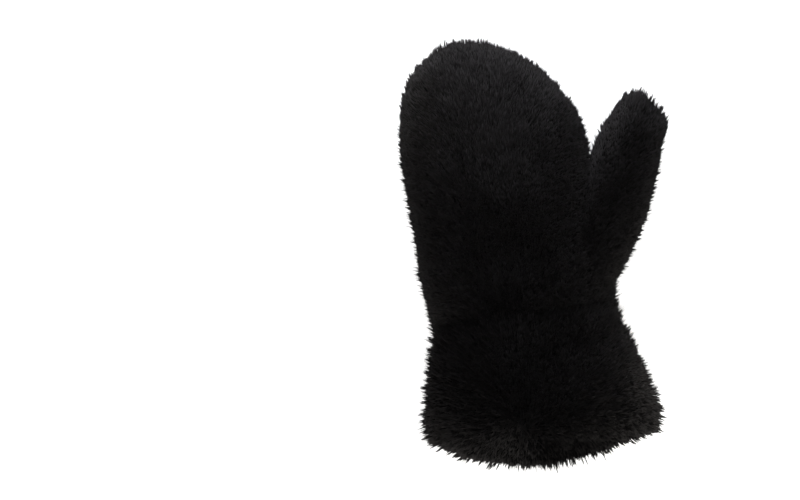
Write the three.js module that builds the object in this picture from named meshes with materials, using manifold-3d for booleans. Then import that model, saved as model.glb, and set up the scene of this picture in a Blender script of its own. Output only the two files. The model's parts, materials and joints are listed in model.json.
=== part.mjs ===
// A right-hand fur mitten, lying on its back with the palm up, in millimetres.
//
// +Z is up, +Y runs from the cuff to the fingertips and +X points to the thumb's side. The origin
// is on the surface that the mitten lies on, under the middle of its box. The deep fur is modelled
// as its outer form, so each wall is as thick as the pile and its backing together. Four sewn
// pieces make the mitten: a palm panel, a back panel, a thumb and a flared cuff. A hand goes in at
// the cuff, and the thumb's hollow opens into the hand's.
import * as THREE from "three";
import { mergeVertices } from "three/addons/utils/BufferGeometryUtils.js";
import Module from "manifold-3d";

// Driving dimensions
const WALL = 12.5; // pile and backing round the hand and cuff
const THUMB_WALL = 10; // the same round the thumb
const SEAM_GAP = 0.3; // between two pieces that are sewn together
const SEAM_Z = 27; // height of the side seam between the palm and back panels
const BODY_POINTS = 40; // points round the hand and cuff
const THUMB_POINTS = 28; // points round the thumb
const CUFF_RINGS = 10; // rings along the cuff
const HAND_RINGS = 16; // rings from the wrist to the fingers' rounded end
const THUMB_RINGS = 12; // rings along the thumb
const LIP_RINGS = 4; // rings in the rounded edge of the cuff
const DOME_RINGS = 7; // rings in the rounded end over the fingers
const SQUARENESS = 2.3; // of every section: 2 is an ellipse, and more is boxier
const FINGER_REACH = 74; // length of the rounded end over the fingers
const FINGER_DRIFT = -17.5; // how far that end bends away from the thumb by its tip
const FINGER_FULLNESS = 0.7; // under 1, that end keeps its height longer than its width
const THUMB_REACH = 22; // length of the thumb's rounded end
const THUMB_TIP_RINGS = 4; // rings in that end
const CUT_REACH = 12; // how far a hollow's cutting form runs past the edge that it opens
const BLOCK = 600; // side of a block that takes in all of the mitten

// Sections of the cuff and hand, from the cuff's edge to the fingers' rounded end. y is where the
// section crosses the hand. tilt is how much higher its thumb side lies for each mm across, and bow
// how far its middle hangs below its sides. x is its middle and half its half width. axis is the
// height of its widest place, up and down the distances from there to its top and its underside.
const SECTIONS = [
  { y: -114.5, tilt: 0.06, bow: 23, x: 6.0, half: 80.5, axis: 27, up: 26, down: 29 },
  { y: -104, tilt: 0.05, bow: 20, x: 4.9, half: 79.6, axis: 28, up: 29, down: 31 },
  { y: -86, tilt: 0.05, bow: 12, x: 2.6, half: 76.0, axis: 28, up: 29, down: 31 },
  { y: -66, tilt: 0.08, bow: 4, x: -1.4, half: 70.8, axis: 27, up: 27, down: 30 },
  { y: -50, tilt: 0.12, bow: 1, x: -4.8, half: 64.2, axis: 26, up: 24, down: 28 },
  { y: -40, tilt: 0.15, bow: 0, x: -5.9, half: 61.8, axis: 25, up: 22, down: 26 },
  { y: -29, tilt: 0.12, bow: 0, x: -8.2, half: 63.8, axis: 26, up: 25, down: 28 },
  { y: -14, tilt: 0.06, bow: 0, x: -11.8, half: 65.4, axis: 27, up: 28, down: 31 },
  { y: 10, tilt: 0, bow: 0, x: -16.2, half: 65.0, axis: 27, up: 30, down: 31 },
  { y: 38, tilt: 0, bow: 0, x: -21.8, half: 64.5, axis: 27, up: 30, down: 31 },
  { y: 70, tilt: 0, bow: 0, x: -26.4, half: 64.4, axis: 26, up: 29, down: 29 },
];
const WRIST_ROW = 5; // where the cuff is sewn to the hand

// The slack palm's dent: its middle, its depth, and the distance at which it fades
const PALM_DENT = { x: -16, y: 4, depth: 4, spread: 30 };

// Sections of the thumb, square to its own line, from inside the hand to the thumb's rounded end.
// x, y and z are the section's middle, half its half width, up and down its heights from there.
const THUMB_SECTIONS = [
  { x: 22, y: -20, z: 26, half: 26.0, up: 18.0, down: 19.0 },
  { x: 39.5, y: 8, z: 27, half: 28.5, up: 22.0, down: 24.0 },
  { x: 51.5, y: 33, z: 26, half: 26.5, up: 22.5, down: 26.5 },
  { x: 61, y: 58, z: 25, half: 23.5, up: 21.0, down: 25.5 },
  { x: 69, y: 84, z: 22.5, half: 22.0, up: 19.5, down: 23.0 },
];

const wasm = await Module();
wasm.setup();

// One column of a table at a share t of the way from one row to another, on a smooth curve.
function column(rows, name, from, to, t) {
  const place = from + (to - from) * t;
  const at = Math.min(Math.floor(place), rows.length - 2);
  const share = place - at;
  const value = (i) => rows[Math.max(0, Math.min(rows.length - 1, i))][name];
  const [a, b, c, d] = [value(at - 1), value(at), value(at + 1), value(at + 2)];
  const slopes = [(c - a) / 2, (d - b) / 2];
  return (
    b +
    share * slopes[0] +
    share ** 2 * (3 * (c - b) - 2 * slopes[0] - slopes[1]) +
    share ** 3 * (2 * (b - c) + slopes[0] + slopes[1])
  );
}

function sectionAt(rows, from, to, t) {
  return Object.fromEntries(
    Object.keys(rows[0]).map((name) => [name, column(rows, name, from, to, t)]),
  );
}

// Points round a section: across is -1 to 1 over its width, and rise the same over its height. No
// point lies on the middle height, where the side seam runs.
function roundPoints(count) {
  return Array.from({ length: count }, (_, k) => {
    const angle = (2 * Math.PI * (k + 0.5)) / count;
    const swell = (value) => Math.sign(value) * Math.abs(value) ** (2 / SQUARENESS);
    return { across: swell(Math.cos(angle)), rise: swell(Math.sin(angle)) };
  });
}

// One ring of the cuff or hand, taken in by inset all round and scaled to its middle by shrink. A
// ring never goes under the surface that the mitten lies on, where its fur is pressed flat.
function bodyRing(s, inset, shrink = 1) {
  return roundPoints(BODY_POINTS).map(({ across, rise }) => {
    const side = (across * (s.half - inset) * shrink) / s.half;
    const x = s.x + side * s.half;
    const y = s.y + s.tilt * side * s.half - s.bow * (1 - side ** 2);
    const height = ((rise > 0 ? s.up : s.down) - inset) * shrink ** FINGER_FULLNESS;
    const away = Math.hypot(x - PALM_DENT.x, y - PALM_DENT.y) / PALM_DENT.spread;
    const dent = rise > 0 ? PALM_DENT.depth * rise * Math.exp(-(away ** 2)) : 0;
    return new THREE.Vector3(x, y, Math.max(0, s.axis + rise * height - dent));
  });
}

// The cuff's rounded edge, from its outermost ring in to the first section. The fur turns over the
// edge, so the hollow's form widens there as the outer form narrows.
function lipRings(inset) {
  const rim = SECTIONS[0];
  const radius = WALL / 2;
  return Array.from({ length: LIP_RINGS }, (_, i) => {
    const turn = ((i + 0.5) / LIP_RINGS) * (Math.PI / 2);
    const taken = radius * (1 - Math.sin(turn));
    const y = rim.y - radius * Math.cos(turn);
    return bodyRing({ ...rim, y }, inset > 0 ? inset - taken : inset + taken);
  });
}

// Rings between two rows of the sections' table.
function rowRings(from, to, count, inset) {
  return Array.from({ length: count + 1 }, (_, i) =>
    bodyRing(sectionAt(SECTIONS, from, to, i / count), inset),
  );
}

// The section at a distance past the last row, where the fingers' end bends away from the thumb.
function fingerSection(rise) {
  const root = SECTIONS.at(-1);
  const x = root.x + FINGER_DRIFT * (rise / FINGER_REACH) ** 1.5;
  return { ...root, x, y: root.y + rise };
}

// The rounded end over the fingers, without the first ring.
function fingerRings(inset) {
  return Array.from({ length: DOME_RINGS - 1 }, (_, i) => {
    const turn = ((i + 1) / DOME_RINGS) * (Math.PI / 2);
    const rise = (FINGER_REACH - inset) * Math.sin(turn);
    return bodyRing(fingerSection(rise), inset, Math.cos(turn));
  });
}

// The point that closes that end.
function fingerTip(inset) {
  const tip = fingerSection(FINGER_REACH - inset);
  return new THREE.Vector3(tip.x, tip.y, tip.axis);
}

function moved(ring, y) {
  return ring.map((point) => point.clone().setY(point.y + y));
}

function middleOf(ring) {
  return ring.reduce((sum, p) => sum.add(p), new THREE.Vector3()).divideScalar(ring.length);
}

// The closed geometry through rings that run away from the first end point to the last one.
function loft(first, rings, last) {
  const count = rings[0].length;
  const points = [first, ...rings.flat(), last];
  const faces = [];
  for (let k = 0; k < count; k++) {
    const next = (k + 1) % count;
    faces.push(0, 1 + k, 1 + next);
    for (let low = 1; low + 2 * count < points.length; low += count) {
      const high = low + count;
      faces.push(low + k, high + next, low + next, low + k, high + k, high + next);
    }
    const top = points.length - 1 - count;
    faces.push(top + k, points.length - 1, top + next);
  }
  const geometry = new THREE.BufferGeometry().setFromPoints(points);
  geometry.setIndex(faces);
  return geometry;
}

function toSolid(geometry) {
  const bare = geometry.clone();
  bare.deleteAttribute("normal");
  bare.deleteAttribute("uv");
  const merged = mergeVertices(bare);
  return new wasm.Manifold(
    new wasm.Mesh({
      numProp: 3,
      vertProperties: merged.attributes.position.array,
      triVerts: new Uint32Array(merged.index.array),
    }),
  );
}

// The hand from its wrist seam to the fingertips, moved by shift from the seam, with inset as the
// depth under the fur's outer form.
function handForm(inset, shift) {
  const rings = rowRings(WRIST_ROW, SECTIONS.length - 1, HAND_RINGS, inset);
  rings[0] = moved(rings[0], shift);
  return toSolid(
    loft(middleOf(rings[0]), [...rings, ...fingerRings(inset)], fingerTip(inset)),
  );
}

// The cuff's outer form, from its rounded edge to the wrist seam.
function cuffForm() {
  const rings = [...lipRings(0), ...rowRings(0, WRIST_ROW, CUFF_RINGS, 0)];
  rings.push(moved(rings.pop(), -SEAM_GAP / 2));
  return toSolid(loft(middleOf(rings[0]), rings, middleOf(rings.at(-1))));
}

// The cuff's hollow, which runs out past both of its ends.
function cuffHollow() {
  const rings = [...lipRings(WALL), ...rowRings(0, WRIST_ROW, CUFF_RINGS, WALL)];
  rings.unshift(moved(rings[0], -CUT_REACH));
  rings.push(moved(rings.at(-1), CUT_REACH));
  return toSolid(loft(middleOf(rings[0]), rings, middleOf(rings.at(-1))));
}

// The thumb's form, with inset as the depth under the fur's outer form.
function thumbForm(inset) {
  const last = THUMB_SECTIONS.length - 1;
  const path = new THREE.CatmullRomCurve3(
    THUMB_SECTIONS.map((s) => new THREE.Vector3(s.x, s.y, s.z)),
  );
  const ring = (middle, along, s, shrink) => {
    const side = new THREE.Vector3(along.y, -along.x, 0).normalize();
    const above = new THREE.Vector3().crossVectors(side, along);
    return roundPoints(THUMB_POINTS).map(({ across, rise }) => {
      const height = rise * ((rise > 0 ? s.up : s.down) - inset) * shrink;
      const width = across * (s.half - inset) * shrink;
      const point = middle.clone().addScaledVector(side, width).addScaledVector(above, height);
      return point.setZ(Math.max(0, point.z));
    });
  };
  const rings = Array.from({ length: THUMB_RINGS + 1 }, (_, i) => {
    const t = i / THUMB_RINGS;
    return ring(path.getPoint(t), path.getTangent(t), sectionAt(THUMB_SECTIONS, 0, last, t), 1);
  });
  const end = path.getPoint(1);
  const along = path.getTangent(1);
  const reach = THUMB_REACH - inset;
  for (let i = 1; i <= THUMB_TIP_RINGS; i++) {
    const turn = (i / (THUMB_TIP_RINGS + 1)) * (Math.PI / 2);
    const middle = end.clone().addScaledVector(along, reach * Math.sin(turn));
    rings.push(ring(middle, along, THUMB_SECTIONS[last], Math.cos(turn)));
  }
  return toSolid(loft(middleOf(rings[0]), rings, end.clone().addScaledVector(along, reach)));
}

// A block that holds all of the mitten above or below the side seam.
function halfSpace(above) {
  const block = new THREE.BoxGeometry(BLOCK, BLOCK, BLOCK);
  const middle = SEAM_Z + ((BLOCK + SEAM_GAP) / 2) * (above ? 1 : -1);
  return toSolid(block.translate(0, 0, middle));
}

function toMesh(name, solid, look) {
  const made = solid.getMesh();
  const geometry = new THREE.BufferGeometry();
  geometry.setAttribute("position", new THREE.BufferAttribute(made.vertProperties, 3));
  geometry.setIndex(new THREE.BufferAttribute(made.triVerts, 1));
  geometry.computeVertexNormals();
  const mesh = new THREE.Mesh(geometry, new THREE.MeshStandardMaterial(look));
  mesh.name = name;
  return mesh;
}

// The thumb's hollow runs on through the hand's wall, and the thumb is seated on that wall.
function build() {
  const thumbHollow = thumbForm(THUMB_WALL);
  const hand = handForm(0, SEAM_GAP / 2).subtract(handForm(WALL, -CUT_REACH)).subtract(thumbHollow);
  const thumb = thumbForm(0).subtract(handForm(-SEAM_GAP, -CUT_REACH)).subtract(thumbHollow);
  const fur = { color: 0x131113, roughness: 0.75, metalness: 0 };
  return new THREE.Group().add(
    toMesh("palm_panel", hand.intersect(halfSpace(true)), fur),
    toMesh("back_panel", hand.intersect(halfSpace(false)), fur),
    toMesh("thumb", thumb, fur),
    toMesh("cuff", cuffForm().subtract(cuffHollow()), fur),
  );
}

export default build();
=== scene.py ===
import json

import bpy
import numpy as np
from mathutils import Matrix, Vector, noise
from mathutils.bvhtree import BVHTree
from mathutils.kdtree import KDTree

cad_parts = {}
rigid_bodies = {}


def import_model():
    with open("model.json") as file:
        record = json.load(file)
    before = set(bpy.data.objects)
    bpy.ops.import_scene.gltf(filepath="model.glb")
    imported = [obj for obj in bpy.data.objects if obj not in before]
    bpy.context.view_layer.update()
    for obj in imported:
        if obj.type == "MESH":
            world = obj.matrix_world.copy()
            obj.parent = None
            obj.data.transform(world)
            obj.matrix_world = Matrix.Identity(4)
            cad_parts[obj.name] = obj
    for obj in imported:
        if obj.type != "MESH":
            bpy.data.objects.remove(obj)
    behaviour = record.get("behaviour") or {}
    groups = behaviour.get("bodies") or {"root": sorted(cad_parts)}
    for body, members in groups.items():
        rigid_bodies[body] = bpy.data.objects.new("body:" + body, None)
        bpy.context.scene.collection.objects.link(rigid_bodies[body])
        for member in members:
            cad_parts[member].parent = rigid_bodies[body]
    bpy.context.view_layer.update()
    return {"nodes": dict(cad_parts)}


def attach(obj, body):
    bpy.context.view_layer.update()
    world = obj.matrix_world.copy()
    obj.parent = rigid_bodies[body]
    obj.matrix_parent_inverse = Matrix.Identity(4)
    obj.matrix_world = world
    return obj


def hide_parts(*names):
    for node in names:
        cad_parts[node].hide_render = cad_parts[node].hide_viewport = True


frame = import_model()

# A right-hand fur mitten, lying on its back with the palm up, in metres. +Y runs from the cuff to
# the fingertips, +X points to the thumb's side and +Z is up.

# Driving dimensions of the picture
PIXEL = 0.00068  # one pixel of the photograph, at the mitten's middle height
PHOTO_SIZE = (800, 500)
MITTEN_PIXEL = (533.5, 253)  # where the mitten's origin lies in the photograph
MIDDLE_HEIGHT = 0.027
LENS = 85  # in mm, as the sensor
SENSOR_WIDTH = 36
FLOOR_SIZE = 8

# Driving dimensions of the sewn pieces
BED_DEPTH = 0.0046  # from the fur's outer form to where its hairs stand too close to see between
SEAM_Z = 0.027  # height of the side seam between the two hand panels
WRIST_Y = (-0.056, -0.024)  # the wrist seam runs aslant between these
SEAM_REACH = 0.0006  # a face this near to a seam, or to what its piece is sewn on, is sewn there
SEAM_CLOSING = 0.0003  # by which the beds grow at their seams, so that no light shows through
SEAT_SHIFT = (-0.0065, -0.0050, 0)  # moves the thumb's seat, so that its bed runs on into the hand's
HOLLOW_RADIUS = 0.018  # round the thumb's middle line, where the hand has no fur
LIP_Y = -0.100  # the cuff's rounded edge lies below this
MERGE_DISTANCE = 0.00002
SMOOTH_ANGLE = 0.7  # up to which an edge is shaded smooth, in radians

# Which way a face looks: how much of its normal, which is 1 long, lies along a direction
SQUARE = 0.9  # along an axis, more than this on the flat faces of a seam
OUTWARD = 0.3  # away from the hollow's middle line, more than this where fur stands
LIP_DOWN = -0.25  # along Y, less than this on the cuff's rounded edge, where fur stands too
LIP_CROWN = -0.2  # along Y, less than this where that edge's hairs stand denser

# Driving dimensions of the hairs
ROOT_DEPTH = 0.0024  # how far a hair's root goes into the bed
HAIR_LENGTH = 0.011  # what the differences in length are given as shares of
FLOOR_CLEARANCE = 0.0004  # between the floor and the hairs that are pressed flat on it
LIP_DENSITY = 1.5  # of the hairs on the cuff's rounded edge, next to the rest of the cuff
LEAST_RISE = 0.35  # off the surface, as a share of its length, that a hair's length is worked out with
END_REACH = 1.15  # how much longer hairs are over the ends of the fingers and of the thumb
END_LENGTH = 0.025  # from the end of a middle line to where they are that long
HAIR_MAP = "OFBake"  # runs across from hair to hair, and up from root to tip
SEED = 7

# The middle lines of the hollows: of the hand and cuff, and of the thumb
BODY_LINE = [
    (0.006, -0.125, 0.027),
    (-0.006, -0.040, 0.025),
    (-0.0265, 0.070, 0.026),
    (-0.032, 0.100, 0.026),
]
THUMB_LINE = [
    (0.022, -0.020, 0.026),
    (0.0395, 0.008, 0.027),
    (0.061, 0.058, 0.025),
    (0.071, 0.090, 0.022),
]

# How the pile is brushed at some places seen from above. heading is the way that its tips point, in
# degrees from +Y towards +X, and lean how far it leans off the surface's normal, in degrees.
STROKE_SPREAD = 0.018  # how far one stroke of these tables reaches
EVERYWHERE = 1e-9  # what each stroke counts at the least, far from it
BODY_STROKES = [
    {"x": -0.045, "y": 0.140, "heading": -4, "lean": 58},
    {"x": -0.066, "y": 0.132, "heading": -28, "lean": 58},
    {"x": -0.082, "y": 0.108, "heading": -44, "lean": 56},
    {"x": -0.088, "y": 0.080, "heading": -62, "lean": 48},
    {"x": -0.020, "y": 0.134, "heading": 20, "lean": 58},
    {"x": 0.006, "y": 0.122, "heading": 34, "lean": 56},
    {"x": 0.026, "y": 0.098, "heading": 42, "lean": 46},
    {"x": 0.036, "y": 0.072, "heading": 50, "lean": 16},
    {"x": -0.040, "y": 0.100, "heading": -8, "lean": 63},
    {"x": -0.010, "y": 0.100, "heading": 10, "lean": 63},
    {"x": -0.062, "y": 0.066, "heading": -24, "lean": 20},
    {"x": -0.042, "y": 0.068, "heading": -12, "lean": 74},
    {"x": -0.022, "y": 0.066, "heading": 2, "lean": 72},
    {"x": 0.004, "y": 0.066, "heading": 14, "lean": 30},
    {"x": 0.026, "y": 0.058, "heading": 32, "lean": 12},
    {"x": -0.086, "y": 0.045, "heading": -68, "lean": 24},
    {"x": -0.045, "y": 0.035, "heading": -14, "lean": 28},
    {"x": -0.022, "y": 0.048, "heading": 0, "lean": 34},
    {"x": 0.000, "y": 0.035, "heading": 12, "lean": 34},
    {"x": 0.030, "y": 0.035, "heading": 30, "lean": 14},
    {"x": -0.080, "y": 0.005, "heading": -66, "lean": 28},
    {"x": -0.040, "y": 0.000, "heading": -12, "lean": 30},
    {"x": 0.010, "y": 0.000, "heading": 14, "lean": 22},
    {"x": 0.050, "y": 0.000, "heading": 50, "lean": 16},
    {"x": -0.068, "y": -0.036, "heading": -64, "lean": 38},
    {"x": -0.026, "y": -0.028, "heading": -8, "lean": 62},
    {"x": 0.012, "y": -0.030, "heading": 8, "lean": 44},
    {"x": 0.052, "y": -0.036, "heading": 52, "lean": 38},
    {"x": -0.060, "y": -0.047, "heading": -60, "lean": 22},
    {"x": -0.030, "y": -0.048, "heading": -10, "lean": 26},
    {"x": 0.002, "y": -0.048, "heading": 4, "lean": 16},
    {"x": 0.032, "y": -0.048, "heading": 20, "lean": 12},
    {"x": -0.066, "y": -0.062, "heading": -72, "lean": 34},
    {"x": -0.032, "y": -0.062, "heading": -18, "lean": 26},
    {"x": 0.008, "y": -0.062, "heading": 8, "lean": 26},
    {"x": 0.062, "y": -0.064, "heading": 56, "lean": 56},
    {"x": 0.074, "y": -0.082, "heading": 76, "lean": 68},
    {"x": 0.084, "y": -0.108, "heading": 98, "lean": 44},
    {"x": 0.045, "y": -0.084, "heading": 50, "lean": 28},
    {"x": 0.055, "y": -0.104, "heading": 84, "lean": 42},
    {"x": -0.068, "y": -0.084, "heading": -84, "lean": 34},
    {"x": -0.035, "y": -0.088, "heading": -28, "lean": 22},
    {"x": 0.005, "y": -0.088, "heading": 8, "lean": 22},
    {"x": -0.070, "y": -0.106, "heading": -98, "lean": 44},
    {"x": -0.042, "y": -0.108, "heading": -70, "lean": 32},
    {"x": 0.010, "y": -0.110, "heading": 40, "lean": 20},
    {"x": -0.060, "y": -0.122, "heading": -132, "lean": 60},
    {"x": -0.034, "y": -0.131, "heading": -156, "lean": 48},
    {"x": 0.000, "y": -0.135, "heading": 180, "lean": 26},
    {"x": 0.034, "y": -0.131, "heading": 168, "lean": 24},
    {"x": 0.066, "y": -0.122, "heading": 142, "lean": 42},
]
THUMB_STROKES = [
    {"x": 0.069, "y": 0.108, "heading": 4, "lean": 52},
    {"x": 0.052, "y": 0.095, "heading": 14, "lean": 34},
    {"x": 0.084, "y": 0.098, "heading": 44, "lean": 50},
    {"x": 0.062, "y": 0.080, "heading": -4, "lean": 42},
    {"x": 0.044, "y": 0.068, "heading": 52, "lean": 32},
    {"x": 0.086, "y": 0.070, "heading": 62, "lean": 36},
    {"x": 0.052, "y": 0.045, "heading": 44, "lean": 34},
    {"x": 0.078, "y": 0.040, "heading": 58, "lean": 32},
    {"x": 0.045, "y": 0.015, "heading": 14, "lean": 34},
    {"x": 0.070, "y": 0.008, "heading": 72, "lean": 20},
]

# Where the pile stands fuller than elsewhere, or flatter where more is under 0: a place seen from
# above, how far it spreads, and the share of length that its hairs gain.
FULLER_PLACES = [
    {"x": -0.072, "y": 0.128, "spread": 0.012, "more": -0.20},
    {"x": -0.036, "y": -0.043, "spread": 0.012, "more": 0.40},
    {"x": -0.012, "y": -0.041, "spread": 0.012, "more": 0.48},
    {"x": 0.012, "y": -0.039, "spread": 0.012, "more": 0.48},
    {"x": 0.032, "y": -0.038, "spread": 0.010, "more": 0.35},
    {"x": -0.058, "y": -0.048, "spread": 0.009, "more": 0.50},
    {"x": -0.036, "y": -0.050, "spread": 0.008, "more": 0.30},
    {"x": -0.020, "y": -0.060, "spread": 0.011, "more": -0.15},
    {"x": 0.012, "y": -0.060, "spread": 0.011, "more": -0.15},
    {"x": 0.050, "y": 0.099, "spread": 0.0075, "more": -0.50},
    {"x": 0.070, "y": 0.107, "spread": 0.0065, "more": 0.75},
    {"x": 0.085, "y": 0.100, "spread": 0.0065, "more": -0.20},
    {"x": 0.090, "y": 0.088, "spread": 0.0050, "more": 0.12},
    {"x": 0.088, "y": 0.076, "spread": 0.0070, "more": -0.25},
    {"x": 0.066, "y": 0.002, "spread": 0.010, "more": -0.25},
    {"x": -0.046, "y": -0.138, "spread": 0.010, "more": 0.28},
    {"x": 0.040, "y": -0.137, "spread": 0.014, "more": -0.45},
    {"x": 0.062, "y": -0.132, "spread": 0.008, "more": -0.30},
    {"x": 0.083, "y": -0.121, "spread": 0.008, "more": 0.25},
]

# Where the longest tufts outreach the rest more than elsewhere, or less where more is under 0, as a
# share of HAIR_LENGTH
RAGGED_PLACES = [
    {"x": 0.085, "y": 0.098, "spread": 0.010, "more": 0.45},
    {"x": 0.070, "y": 0.110, "spread": 0.006, "more": 0.48},
    {"x": -0.080, "y": 0.112, "spread": 0.012, "more": 0.12},
    {"x": -0.056, "y": 0.138, "spread": 0.012, "more": 0.10},
    {"x": 0.004, "y": 0.130, "spread": 0.016, "more": -0.05},
    {"x": 0.034, "y": 0.096, "spread": 0.018, "more": -0.05},
    {"x": -0.040, "y": -0.142, "spread": 0.018, "more": 0.16},
    {"x": 0.012, "y": -0.146, "spread": 0.020, "more": 0.20},
    {"x": 0.055, "y": -0.034, "spread": 0.010, "more": 0.12},
    {"x": -0.066, "y": -0.130, "spread": 0.012, "more": 0.26},
    {"x": 0.052, "y": -0.134, "spread": 0.012, "more": 0.18},
    {"x": 0.078, "y": -0.122, "spread": 0.012, "more": 0.34},
    {"x": 0.072, "y": -0.060, "spread": 0.014, "more": -0.14},
]

# The four sewn pieces. line is the middle line that a piece goes round, and strokes the table that it
# is brushed by. reach and density are the length and number of its hairs, next to what the coats say.
# ragged is how much its tufts differ in length and locks how far the longest outreach the rest, as
# shares of HAIR_LENGTH. swirl is how far tufts turn off the brushing, in radians, and tuft the area
# of the form's surface that one tuft stands on.
HAND = {
    "line": BODY_LINE, "strokes": BODY_STROKES, "reach": 1.01, "density": 1.0,
    "ragged": 0.05, "locks": 0.33, "swirl": 0.28, "tuft": 1.8e-6,
}
THUMB = {"line": THUMB_LINE, "strokes": THUMB_STROKES, "reach": 0.99, "locks": 0.34, "tuft": 2.0e-6}
CUFF = {"reach": 0.94, "locks": 0.54, "swirl": 0.6, "tuft": 1.9e-6}
PANELS = {
    "palm_panel": HAND,
    "back_panel": {**HAND, "density": 0.9},
    "thumb": {**HAND, **THUMB},
    "cuff": {**HAND, **CUFF},
}

# The coats of hair on each. density is in hairs for each square metre, and reach the share of the
# pile's depth that they fill. width is a hair's, where it is widest, at the share belly of its length.
# bend is how far it stands off the straight line there, as a share of its length. tail is how far the
# longest hairs outreach the rest, as a share of HAIR_LENGTH, and clump how much a tuft draws its hairs
# together.
COATS = {
    "underfur": {
        "density": 0.72e6, "reach": 0.86, "width": 0.00064, "belly": 0.52,
        "bend": 0.13, "tail": 0.02, "clump": 0.20,
    },
    "top_fur": {
        "density": 1.18e6, "reach": 0.94, "width": 0.00042, "belly": 0.72,
        "bend": 0.18, "tail": 0.04, "clump": 0.70,
    },
    "long_hairs": {
        "density": 0.25e6, "reach": 1.00, "width": 0.00042, "belly": 0.78,
        "bend": 0.14, "tail": 0.06, "clump": 0.84,
    },
    "guard_hairs": {
        "density": 0.13e6, "reach": 1.02, "width": 0.00021, "belly": 0.55,
        "bend": 0.16, "tail": 0.38, "clump": 0.35,
    },
}

# How the tufts differ. The smooth patches of the pile that differ have a size and a seed of their own.
TURN_PATCH = {"size": 0.016, "seed": 1}
LEAN_PATCH = {"size": 0.014, "seed": 2}
LENGTH_PATCH = {"size": 0.010, "seed": 3}
TONE_PATCH = {"size": 0.008, "seed": 4}
LEAN_CHANGE = 0.18  # of the lean from patch to patch, as a share of it
LENGTH_CHANGE = 0.10  # of the length, as a share of HAIR_LENGTH
TONE_CHANGE = 0.16  # of the tone, which goes from 0 for the darkest to 1 for the lightest
STRAND_TONE = 0.09  # how much the tone differs from strand to strand
NOISE_STEP = (3.1, 5.7, 1.3)  # from the noise of one seed to the next, in its patches
LEAN_RANGE = (0.15, 1.2)  # in radians
LOCK_RARITY = 4  # the higher it is, the fewer of the tufts come near the longest
LEAST_LOCKS = 0.05  # how far the longest outreach the rest at the least, as a share of HAIR_LENGTH
STRAND_TUFTS = 16  # how many of the nearest tufts a tuft is compared with
STRAND_WIDTH = 0.0008  # across the brushing, tufts this near to each other are alike
STRAND_LENGTH = 0.0045  # and the same along it
STRAND_PASSES = 2  # of drawing out the strands

# How the hairs of a tuft differ
TURN_SPREAD = 0.06  # of a tuft in its patch, and of a hair in its tuft, in radians
LEAN_SPREAD = 0.05  # and the same for their lean
LENGTH_SPREAD = 0.03  # as a share of HAIR_LENGTH
TONE_SPREAD = 0.10
TONE_RANGE = (0.02, 0.98)
SPIN_SPREAD = 0.3  # how far the flat of a hair turns about it, in radians
WIDTH_RANGE = (0.7, 1.3)  # next to the width of its coat
TUFT_TAPER = 0.16  # how much shorter a tuft's outer hairs are, as a share of HAIR_LENGTH
FLAT_EASE = 0.55  # how much less hairs are drawn together, and differ in length, where they lie flat
NEAR_TUFTS = 6  # how many of the nearest tufts a hair may belong to
CELL_SHAPE = 3.2  # how much longer than wide the patch is that one tuft of flat hairs draws together

# A hair is a blade with four points: its root, its two sides and its tip. On the map they lie about
# the hair's tone across, and at these places along.
BLADE_FACES = np.array([(0, 2, 1), (1, 2, 3), (0, 1, 3), (0, 3, 2)])
BLADE_ACROSS = np.array([0, -0.01, 0.01, 0])
BLADE_ALONG = np.array([0.02, 0.45, 0.45, 0.98])

# The hairs' darkest and lightest colour, and how the light falls on them
HAIR_LOOKS = {
    "underfur": {
        "dark": (0.0115, 0.0107, 0.0108), "light": (0.0185, 0.0173, 0.0177),
        "roughness": 0.7, "gloss": 0.06,
    },
    "top_fur": {
        "dark": (0.0140, 0.0130, 0.0133), "light": (0.0255, 0.0240, 0.0247),
        "roughness": 0.8, "gloss": 0.05,
    },
    "long_hairs": {
        "dark": (0.0140, 0.0130, 0.0133), "light": (0.0235, 0.0220, 0.0227),
        "roughness": 0.8, "gloss": 0.05,
    },
}
ROOT_SHADE = (0.5, 0.5, 0.5)  # of a hair's colour at its root
WHITE = (1, 1, 1)

# The knit's ribs and its rows of stitches: the way they follow each other, how closely, how unevenly
KNIT_WAVES = [
    {"direction": "X", "scale": 180, "distortion": 0.6},
    {"direction": "Y", "scale": 210, "distortion": 0.8},
]

# The studio. size is how wide a lamp is, and spread the angle that its light opens to, in radians.
WIDE = np.pi
LAMPS = [
    {
        "name": "key_light", "place": (-0.02, 0.54, 0.15), "target": (-0.02, 0.10, 0.02),
        "size": 0.50, "watts": 5.0, "colour": (0.97, 0.99, 1.04), "spread": WIDE,
    },
    {
        "name": "thumb_side_light", "place": (0.44, -0.33, 0.11), "target": (0.07, -0.08, 0.01),
        "size": 0.25, "watts": 2.7, "colour": (1.0, 0.98, 0.90), "spread": WIDE,
    },
    {
        "name": "cuff_side_light", "place": (0.46, -0.20, 0.15), "target": (0.069, -0.076, 0.035),
        "size": 0.04, "watts": 0.0078, "colour": (1.0, 0.98, 0.90), "spread": 0.16,
    },
    {
        "name": "cuff_end_light", "place": (-0.43, -0.70, 0.13), "target": (-0.05, -0.12, 0),
        "size": 0.4, "watts": 7.6, "colour": (1.0, 0.97, 0.90), "spread": WIDE,
    },
    {
        "name": "finger_side_light", "place": (-0.44, 0.52, 0.10), "target": (-0.074, 0.136, 0.02),
        "size": 0.12, "watts": 0.017, "colour": (1.0, 0.98, 0.88), "spread": 0.18,
    },
]

# How bright the room is by how high up it is seen: at the level or below, in between, and overhead
ROOM = [(0, (0.40, 0.40, 0.40)), (0.45, (0.20, 0.20, 0.20)), (1, (0.32, 0.32, 0.32))]
FLOOR_COLOUR = (0.93, 0.93, 0.93)
FLOOR_GLOW = 0.78  # the floor is a table that is lit from within


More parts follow.
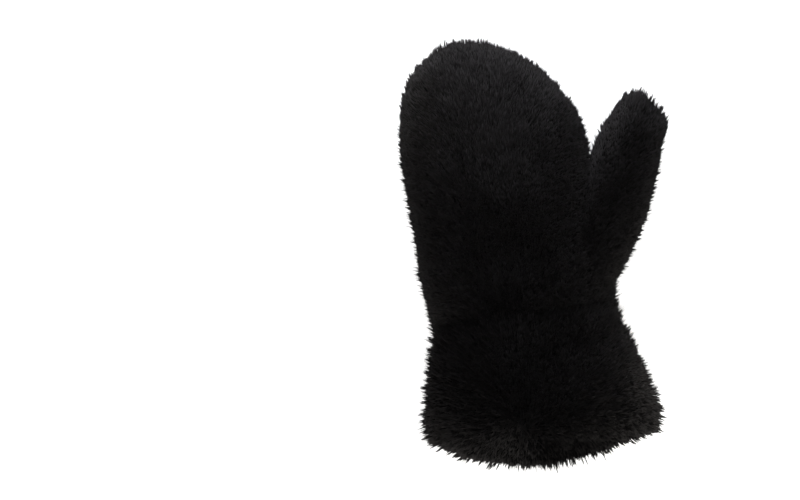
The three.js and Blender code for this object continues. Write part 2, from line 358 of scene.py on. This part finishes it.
# Camera and light
def add_camera():
    """Looks straight down on the middle of the photograph's frame."""
    data = bpy.data.cameras.new("camera")
    data.lens = LENS
    data.sensor_width = SENSOR_WIDTH
    camera = bpy.data.objects.new("camera", data)
    bpy.context.scene.collection.objects.link(camera)
    distance = PHOTO_SIZE[0] * PIXEL * LENS / SENSOR_WIDTH
    x = (PHOTO_SIZE[0] / 2 - MITTEN_PIXEL[0]) * PIXEL
    y = (MITTEN_PIXEL[1] - PHOTO_SIZE[1] / 2) * PIXEL
    camera.location = (x, y, MIDDLE_HEIGHT + distance)
    bpy.context.scene.camera = camera


def add_lamp(name, place, target, size, watts, colour, spread):
    """A round soft lamp that isn't seen itself."""
    data = bpy.data.lights.new(name, "AREA")
    data.shape = "DISK"
    data.size = size
    data.energy = watts
    data.color = colour
    data.spread = spread
    lamp = bpy.data.objects.new(name, data)
    lamp.location = place
    lamp.visible_camera = False
    lamp.rotation_euler = (Vector(target) - Vector(place)).to_track_quat("-Z", "Y").to_euler()
    bpy.context.scene.collection.objects.link(lamp)


def add_room():
    """The pale room round the table, with plain colours."""
    world = bpy.data.worlds.new("studio")
    bpy.context.scene.world = world
    world.use_nodes = True
    nodes = world.node_tree.nodes
    links = world.node_tree.links
    where = nodes.new("ShaderNodeTexCoord")
    split = nodes.new("ShaderNodeSeparateXYZ")
    links.new(where.outputs["Generated"], split.inputs["Vector"])
    glow = add_ramp(nodes, ROOM)
    links.new(split.outputs["Z"], glow.inputs["Fac"])
    links.new(glow.outputs["Color"], nodes["Background"].inputs["Color"])
    bpy.context.scene.view_settings.view_transform = "Standard"


def add_floor():
    bpy.ops.mesh.primitive_plane_add(size=FLOOR_SIZE)
    floor = bpy.context.active_object
    floor.name = "floor"
    material = plain_material("light_table", FLOOR_COLOUR, roughness=0.9)
    shader = material.node_tree.nodes["Principled BSDF"]
    shader.inputs["Emission Color"].default_value = (*WHITE, 1)
    shader.inputs["Emission Strength"].default_value = FLOOR_GLOW
    floor.data.materials.append(material)


# Materials
def plain_material(name, colour, roughness, gloss=0.5):
    material = bpy.data.materials.new(name)
    material.use_nodes = True
    shader = material.node_tree.nodes["Principled BSDF"]
    shader.inputs["Base Color"].default_value = (*colour, 1)
    shader.inputs["Roughness"].default_value = roughness
    shader.inputs["Specular IOR Level"].default_value = gloss
    return material


def add_ramp(nodes, stops):
    """A ramp of colours with the given stops, each a position and a colour, in order."""
    ramp = nodes.new("ShaderNodeValToRGB")
    elements = ramp.color_ramp.elements
    for position, _ in stops[1:-1]:
        elements.new(position)
    for element, (position, colour) in zip(elements, stops):
        element.position = position
        element.color = (*colour, 1)
    return ramp


def add_bump(material, height, strength, distance):
    """A bump by the height that an output gives, on the material's shader."""
    bump = material.node_tree.nodes.new("ShaderNodeBump")
    bump.inputs["Strength"].default_value = strength
    bump.inputs["Distance"].default_value = distance
    shader = material.node_tree.nodes["Principled BSDF"]
    material.node_tree.links.new(height, bump.inputs["Height"])
    material.node_tree.links.new(bump.outputs["Normal"], shader.inputs["Normal"])


def hair_tone_group():
    """The colour of hairs, which goes from dark to light across the map and is darker at the root."""
    group = bpy.data.node_groups.new("hair_tone", "ShaderNodeTree")
    for name in ("Dark", "Light"):
        group.interface.new_socket(name, in_out="INPUT", socket_type="NodeSocketColor")
    group.interface.new_socket("Color", in_out="OUTPUT", socket_type="NodeSocketColor")
    nodes = group.nodes
    links = group.links
    given = nodes.new("NodeGroupInput")
    where = nodes.new("ShaderNodeUVMap")
    where.uv_map = HAIR_MAP
    split = nodes.new("ShaderNodeSeparateXYZ")
    links.new(where.outputs["UV"], split.inputs["Vector"])
    tone = nodes.new("ShaderNodeMix")
    tone.data_type = "RGBA"
    links.new(split.outputs["X"], tone.inputs["Factor"])
    links.new(given.outputs["Dark"], tone.inputs["A"])
    links.new(given.outputs["Light"], tone.inputs["B"])
    shade = add_ramp(nodes, [(0, ROOT_SHADE), (1, WHITE)])
    links.new(split.outputs["Y"], shade.inputs["Fac"])
    shaded = nodes.new("ShaderNodeMix")
    shaded.data_type = "RGBA"
    shaded.blend_type = "MULTIPLY"
    shaded.inputs["Factor"].default_value = 1
    links.new(tone.outputs["Result"], shaded.inputs["A"])
    links.new(shade.outputs["Color"], shaded.inputs["B"])
    result = nodes.new("NodeGroupOutput")
    links.new(shaded.outputs["Result"], result.inputs["Color"])
    return group


def hair_material(name, tone_group, dark, light, roughness, gloss):
    """Near-black hairs, with a tone of their own each."""
    material = plain_material(name, light, roughness, gloss)
    nodes = material.node_tree.nodes
    tone = nodes.new("ShaderNodeGroup")
    tone.node_tree = tone_group
    tone.inputs["Dark"].default_value = (*dark, 1)
    tone.inputs["Light"].default_value = (*light, 1)
    material.node_tree.links.new(tone.outputs["Color"], nodes["Principled BSDF"].inputs["Base Color"])
    return material


def pile_painted_shade_material():
    """The pile where its hairs stand too close to see between, with a mottle of hair ends, coloured
    darker than the hairs themselves as painted shade of the deep gaps between them.
    """
    material = plain_material("dense_pile_painted_shade", (0.006, 0.0056, 0.0058), roughness=0.9, gloss=0.05)
    nodes = material.node_tree.nodes
    links = material.node_tree.links
    where = nodes.new("ShaderNodeTexCoord")
    ends = nodes.new("ShaderNodeTexNoise")
    ends.inputs["Scale"].default_value = 900
    ends.inputs["Detail"].default_value = 3
    links.new(where.outputs["Object"], ends.inputs["Vector"])
    # Painted shade: the dark end stands for the shadow in the gaps between hair ends, darker than the
    # hairs' own colour
    colour = add_ramp(nodes, [(0.38, (0.0018, 0.0016, 0.0017)), (0.66, (0.0110, 0.0102, 0.0105))])
    links.new(ends.outputs["Fac"], colour.inputs["Fac"])
    links.new(colour.outputs["Color"], nodes["Principled BSDF"].inputs["Base Color"])
    add_bump(material, ends.outputs["Fac"], strength=1, distance=0.0012)
    return material


def knit_material():
    """The fur's knitted backing: ribs of small stitches that run up the hand."""
    material = plain_material("knit_backing", (0.02, 0.02, 0.021), roughness=0.85, gloss=0.25)
    nodes = material.node_tree.nodes
    links = material.node_tree.links
    where = nodes.new("ShaderNodeTexCoord")
    stitches = nodes.new("ShaderNodeMath")
    stitches.operation = "MULTIPLY"
    for wave, socket in zip(KNIT_WAVES, stitches.inputs):
        ribs = nodes.new("ShaderNodeTexWave")
        ribs.bands_direction = wave["direction"]
        ribs.inputs["Scale"].default_value = wave["scale"]
        ribs.inputs["Distortion"].default_value = wave["distortion"]
        ribs.inputs["Detail Scale"].default_value = 400
        links.new(where.outputs["Object"], ribs.inputs["Vector"])
        links.new(ribs.outputs["Fac"], socket)
    colour = add_ramp(nodes, [(0, (0.006, 0.006, 0.0065)), (1, (0.034, 0.033, 0.035))])
    links.new(stitches.outputs["Value"], colour.inputs["Fac"])
    links.new(colour.outputs["Color"], nodes["Principled BSDF"].inputs["Base Color"])
    add_bump(material, stitches.outputs["Value"], strength=0.6, distance=0.0005)
    return material


# The outer form of a sewn piece
def dots(first, second):
    """The dot product of each pair of rows."""
    return np.einsum("ij,ij->i", first, second)


def lengths(vectors):
    return np.linalg.norm(vectors, axis=1)


def unit(vectors):
    """The vectors made 1 long, or left at 0 where they have no length."""
    return vectors / np.maximum(lengths(vectors), 1e-12)[:, None]


def off_line(points, line):
    """The way from the nearest places on a middle line to the points, and how far they are."""
    line = np.array(line)
    nearest = np.full(len(points), np.inf)
    found = np.zeros_like(points)
    for a, b in zip(line[:-1], line[1:]):
        share = np.clip((points - a) @ (b - a) / np.dot(b - a, b - a), 0, 1)
        away = points - (a + share[:, None] * (b - a))
        distance = lengths(away)
        closer = distance < nearest
        nearest[closer] = distance[closer]
        found[closer] = away[closer]
    return unit(found), nearest


def past_line(points, line):
    """How far points lie past the end of a middle line, as a share of END_LENGTH up to 1."""
    end = np.array(line[-1])
    way = unit((end - np.array(line[-2]))[None])[0]
    return np.clip((points - end) @ way / END_LENGTH, 0, 1)


def start_edit(piece, chosen):
    """Goes into edit mode with the chosen faces of a piece selected."""
    piece.data.polygons.foreach_set("select", chosen)
    bpy.ops.object.mode_set(mode="EDIT")


def end_edit():
    bpy.ops.mesh.select_all(action="DESELECT")
    bpy.ops.object.mode_set(mode="OBJECT")


def merged_copy(node, name):
    """A copy of a node's mesh as a new object, with its loose triangles joined."""
    bpy.ops.object.select_all(action="DESELECT")
    copy = bpy.data.objects.new(name, frame["nodes"][node].data.copy())
    bpy.context.scene.collection.objects.link(copy)
    copy.data.materials.clear()
    bpy.context.view_layer.objects.active = copy
    copy.select_set(True)
    bpy.ops.object.mode_set(mode="EDIT")
    bpy.ops.mesh.select_mode(type="FACE")
    bpy.ops.mesh.select_all(action="SELECT")
    bpy.ops.mesh.remove_doubles(threshold=MERGE_DISTANCE)
    bpy.ops.mesh.customdata_custom_splitnormals_clear()
    end_edit()
    return copy


def read_rows(items, name, kind=float):
    """What each of a mesh's items has under a name, as an array with a row of three for each."""
    values = np.empty(len(items) * 3, dtype=kind)
    items.foreach_get(name, values)
    return values.reshape(-1, 3)


def is_seat(mesh, node):
    """For each face, whether it is the thumb's seat, which lies on the hand."""
    if node != "thumb":
        return np.zeros(len(mesh.polygons), dtype=bool)
    hand = []
    for name in ("palm_panel", "back_panel"):
        panel = frame["nodes"][name].data
        corners = [vertex.co for vertex in panel.vertices]
        hand.append(BVHTree.FromPolygons(corners, [list(face.vertices) for face in panel.polygons]))
    middles = read_rows(mesh.polygons, "center")
    return np.array([any(tree.find_nearest(p, SEAM_REACH)[0] for tree in hand) for p in middles])


def is_sewn_edge(mesh):
    """For each face, whether it is one of the flat ones at the side seam or the wrist seam."""
    middles = read_rows(mesh.polygons, "center")
    normals = np.abs(read_rows(mesh.polygons, "normal"))
    side = (np.abs(middles[:, 2] - SEAM_Z) < SEAM_REACH) & (normals[:, 2] > SQUARE)
    between = (middles[:, 1] > WRIST_Y[0]) & (middles[:, 1] < WRIST_Y[1])
    return side | (between & (normals[:, 1] > SQUARE))


def is_furred(mesh, node):
    """For each face, whether fur stands on it: it looks out from the hollow, or is the cuff's lip."""
    middles = read_rows(mesh.polygons, "center")
    normals = read_rows(mesh.polygons, "normal")
    facing = dots(normals, off_line(middles, PANELS[node]["line"])[0])
    lip = (middles[:, 1] < LIP_Y) & (normals[:, 1] < LIP_DOWN)
    return ((facing > OUTWARD) | lip) & ~is_seat(mesh, node)


def add_bed(node, pile, knit):
    """The backing cloth and the part of the pile that is too dense to see into, as one body. The pile's
    dark colour is partly painted shade.
    """
    bed = merged_copy(node, node + "_bed")
    furred = is_furred(bed.data, node)
    seat = is_seat(bed.data, node)
    edges = is_sewn_edge(bed.data)
    bed.data.materials.append(knit)
    bed.data.materials.append(pile)
    start_edit(bed, furred)
    bpy.ops.transform.shrink_fatten(value=-BED_DEPTH)
    # The faces that lead down to the sunk ones show pile too
    bpy.ops.mesh.select_more()
    bed.active_material_index = 1
    bpy.ops.object.material_slot_assign()
    end_edit()
    if edges.any():
        start_edit(bed, edges)
        bpy.ops.transform.shrink_fatten(value=SEAM_CLOSING)
        end_edit()
    if seat.any():
        start_edit(bed, seat)
        bpy.ops.transform.translate(value=SEAT_SHIFT)
        end_edit()
    bpy.ops.object.shade_smooth_by_angle(angle=SMOOTH_ANGLE)
    finish_piece(bed, node)


def finish_piece(piece, node):
    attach(piece, "root")
    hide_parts(node)


class Form:
    """The outer form of a sewn piece, to scatter hairs on."""

    def __init__(self, node):
        copy = merged_copy(node, "form")
        start_edit(copy, ~is_furred(copy.data, node))
        bpy.ops.mesh.delete(type="FACE")
        end_edit()
        mesh = copy.data
        mesh.calc_loop_triangles()
        self.points = read_rows(mesh.vertices, "co")
        self.normals = read_rows(mesh.vertex_normals, "vector")
        self.faces = read_rows(mesh.loop_triangles, "vertices", int)
        a, b, c = (self.points[self.faces[:, k]] for k in range(3))
        normals = np.cross(b - a, c - a)
        lip = (a[:, 1] < LIP_Y) & (unit(normals)[:, 1] < LIP_CROWN)
        self.weights = lengths(normals) / 2 * np.where(lip, LIP_DENSITY, 1)
        bpy.data.objects.remove(copy)

    def scatter(self, count, rng):
        """Points spread over the form, with their normals."""
        chosen = rng.choice(len(self.faces), size=count, p=self.weights / self.weights.sum())
        u, v = rng.random(count), rng.random(count)
        over = u + v > 1
        u[over], v[over] = 1 - u[over], 1 - v[over]
        shares = np.stack([1 - u - v, u, v], axis=1)
        corners = self.faces[chosen]
        points = np.einsum("ij,ijk->ik", shares, self.points[corners])
        normals = np.einsum("ij,ijk->ik", shares, self.normals[corners])
        return points, unit(normals)


# How the pile lies
def smooth_noise(points, size, seed):
    """A smooth random value, about -0.6 to 0.6, at each point, with patches of about that size."""
    shift = Vector([seed * step for step in NOISE_STEP])
    return np.array([noise.noise(Vector(p) / size + shift) for p in points])


def nearness(points, place, spread):
    """How near points are to a place seen from above: 1 there, and less with the distance."""
    away = (points[:, 0] - place["x"]) ** 2 + (points[:, 1] - place["y"]) ** 2
    return np.exp(-away / (2 * spread ** 2))


def by_place(points, places):
    """The sum of what a table of places adds at each point."""
    total = np.zeros(len(points))
    for place in places:
        total += place["more"] * nearness(points, place, place["spread"])
    return total


def brushed(points, strokes):
    """The way that the pile is brushed at each point, as a level unit vector, and its lean."""
    way = np.zeros((len(points), 3))
    lean = np.zeros(len(points))
    total = np.zeros(len(points))
    for stroke in strokes:
        weight = nearness(points, stroke, STROKE_SPREAD) + EVERYWHERE
        heading = np.radians(stroke["heading"])
        way += weight[:, None] * (np.sin(heading), np.cos(heading), 0)
        lean += weight * np.radians(stroke["lean"])
        total += weight
    return unit(way), lean / total


def along_surface(ways, normals, turns):
    """The ways laid flat on the surface and turned about its normals. They get shorter where they
    would point off it, as on the mitten's outline, so that the hairs stand up there."""
    flat = ways - dots(normals, ways)[:, None] * normals
    return np.cos(turns)[:, None] * flat + np.sin(turns)[:, None] * np.cross(normals, flat)


def combed(values, near, weights):
    """Random values of tufts, drawn out along the brushing so that each strand is alike."""
    for _ in range(STRAND_PASSES):
        values = np.sum(weights * values[near], axis=1)
        values = values / values.std()
    return values


class Tufts:
    """The tufts of a sewn piece: where they stand, and what the hairs of each one share."""

    def __init__(self, form, panel, rng):
        count = int(form.weights.sum() / panel["tuft"])
        self.points, normals = form.scatter(count, rng)
        self.tree = KDTree(count)
        for k, point in enumerate(self.points):
            self.tree.insert(point, k)
        self.tree.balance()
        self.way, lean = brushed(self.points, panel["strokes"])
        self.turn = panel["swirl"] * self.patchy(TURN_PATCH) + rng.normal(0, TURN_SPREAD, count)
        lean *= 1 + LEAN_CHANGE * self.patchy(LEAN_PATCH)
        self.lean = np.clip(lean + rng.normal(0, LEAN_SPREAD, count), *LEAN_RANGE)
        flow = along_surface(self.way, normals, self.turn)
        near, along, across = self.nearest(self.points, flow, STRAND_TUFTS)
        weights = np.exp(
            -along ** 2 / (2 * STRAND_LENGTH ** 2)
            - np.sum(across ** 2, axis=2) / (2 * STRAND_WIDTH ** 2)
        )
        ragged = panel["ragged"] * combed(rng.normal(0, 1, count), near, weights)
        locks = rng.random(count) ** LOCK_RARITY
        locks *= np.maximum(panel["locks"] + by_place(self.points, RAGGED_PLACES), LEAST_LOCKS)
        self.length = LENGTH_CHANGE * self.patchy(LENGTH_PATCH) + ragged + locks
        strands = combed(rng.normal(0, 1, count), near, weights)
        self.tone = TONE_CHANGE * self.patchy(TONE_PATCH) + STRAND_TONE * strands

    def patchy(self, patch):
        """The smooth noise of one kind of patch at each tuft."""
        return smooth_noise(self.points, **patch)

    def nearest(self, points, flow, count):
        """The tufts nearest to each point, and the way to them along the flow and across it."""
        flow = unit(flow)
        near = np.array([[index for _, index, _ in self.tree.find_n(p, count)] for p in points])
        offsets = self.points[near] - points[:, None]
        along = np.einsum("ijk,ik->ij", offsets, flow)
        across = offsets - along[:, :, None] * flow[:, None]
        return near, along, across

    def own(self, points, flow):
        """The tuft that each hair belongs to. Where hairs lie flat, its patch is drawn out."""
        near, along, across = self.nearest(points, flow, NEAR_TUFTS)
        shape = 1 + (CELL_SHAPE - 1) * lengths(flow)
        chosen = np.argmin(along ** 2 + shape[:, None] ** 2 * np.sum(across ** 2, axis=2), axis=1)
        return near[np.arange(len(points)), chosen]


# The hairs
def hair_mesh(name, roots, middles, sides, tips, tones):
    """One mesh of thin bent blades, each a closed body, with the map that their colour reads."""
    points = np.stack([roots, middles - sides, middles + sides, tips], axis=1)
    points[:, :, 2] = np.maximum(points[:, :, 2], FLOOR_CLEARANCE)
    # The blades whose faces would point inwards have their sides swapped
    a, b, c = (points[:, k] - points[:, 0] for k in (1, 2, 3))
    turned = dots(np.cross(a, b), c) < 0
    points[turned] = points[turned][:, [0, 2, 1, 3]]
    count, blade_points = points.shape[:2]
    corners = BLADE_FACES.ravel()
    indices = corners + blade_points * np.arange(count)[:, None]
    starts = np.arange(0, indices.size, BLADE_FACES.shape[1], dtype=np.int32)
    mesh = bpy.data.meshes.new(name)
    mesh.vertices.add(count * blade_points)
    mesh.vertices.foreach_set("co", points.ravel())
    mesh.loops.add(indices.size)
    mesh.loops.foreach_set("vertex_index", indices.ravel().astype(np.int32))
    mesh.polygons.add(len(starts))
    mesh.polygons.foreach_set("loop_start", starts)
    mesh.polygons.foreach_set("use_smooth", np.ones(len(starts), dtype=bool))
    across = tones[:, None] + BLADE_ACROSS
    along = np.broadcast_to(BLADE_ALONG, across.shape)
    places = np.stack([across, along], axis=2)[:, corners]
    mesh.uv_layers.new(name=HAIR_MAP).uv.foreach_set("vector", places.astype(np.float32).ravel())
    mesh.update(calc_edges=True)
    piece = bpy.data.objects.new(name, mesh)
    bpy.context.scene.collection.objects.link(piece)
    return piece


def add_coat(node, coat_name, form, tufts, material, rng):
    """One coat of hair on a sewn piece, drawn together at the tips into tufts."""
    coat = COATS[coat_name]
    panel = PANELS[node]
    points, normals = form.scatter(int(form.weights.sum() * coat["density"] * panel["density"]), rng)
    if panel["line"] is BODY_LINE:
        kept = off_line(points, THUMB_LINE)[1] > HOLLOW_RADIUS
        points, normals = points[kept], normals[kept]
    count = len(points)
    way, _ = brushed(points, panel["strokes"])
    flow = along_surface(way, normals, np.zeros(count))
    tuft = tufts.own(points, flow)
    # How much the tuft draws the hair to its middle
    offsets = tufts.points[tuft] - points
    ease = 1 - FLAT_EASE * lengths(flow)
    clump = coat["clump"] * ease
    pull = clump[:, None] * (offsets - dots(offsets, flow)[:, None] * unit(flow))
    taper = TUFT_TAPER * clump * lengths(offsets) / np.sqrt(panel["tuft"])
    # The way that the hair runs, and its length from its root to the outer form
    lean = tufts.lean[tuft] + rng.normal(0, LEAN_SPREAD, count)
    flow = along_surface(tufts.way[tuft], normals, tufts.turn[tuft] + rng.normal(0, TURN_SPREAD, count))
    run = unit(np.cos(lean)[:, None] * normals + np.sin(lean)[:, None] * flow)
    length = (BED_DEPTH + ROOT_DEPTH) / np.maximum(dots(run, normals), LEAST_RISE)
    # Where its tip is, short of that form or past it
    reach = coat["reach"] * panel["reach"] * (1 + by_place(points, FULLER_PLACES))
    reach *= 1 + (END_REACH - 1) * past_line(points, panel["line"])
    more = ease * tufts.length[tuft] + rng.normal(0, LENGTH_SPREAD, count)
    more += rng.uniform(0, coat["tail"], count)
    more -= taper
    roots = points - run * length[:, None]
    tips = roots + run * (length * reach + HAIR_LENGTH * more)[:, None]
    # Its bend and its flat sides
    side = unit(np.cross(flow, normals))
    top = np.cross(side, run)
    spin = rng.normal(0, SPIN_SPREAD, count)[:, None]
    bend = top * (coat["bend"] * length * lengths(flow))[:, None]
    middles = roots + (tips - roots) * coat["belly"] + bend + pull * coat["belly"]
    side = np.cos(spin) * side + np.sin(spin) * top
    sides = side * (coat["width"] * rng.uniform(*WIDTH_RANGE, count) / 2)[:, None]
    tones = np.clip(0.5 + tufts.tone[tuft] + rng.normal(0, TONE_SPREAD, count), *TONE_RANGE)
    piece = hair_mesh(f"{node}_{coat_name}", roots, middles, sides, tips + pull, tones)
    piece.data.materials.append(material)
    finish_piece(piece, node)


add_camera()
for lamp in LAMPS:
    add_lamp(**lamp)
add_room()
add_floor()
hair_tone = hair_tone_group()
hair_materials = {name: hair_material(name, hair_tone, **look) for name, look in HAIR_LOOKS.items()}
hair_materials["guard_hairs"] = hair_materials["long_hairs"]
knit = knit_material()
pile = pile_painted_shade_material()
rng = np.random.default_rng(SEED)
for node, panel in PANELS.items():
    add_bed(node, pile, knit)
    form = Form(node)
    tufts = Tufts(form, panel, rng)
    for coat_name, material in hair_materials.items():
        add_coat(node, coat_name, form, tufts, material, rng)
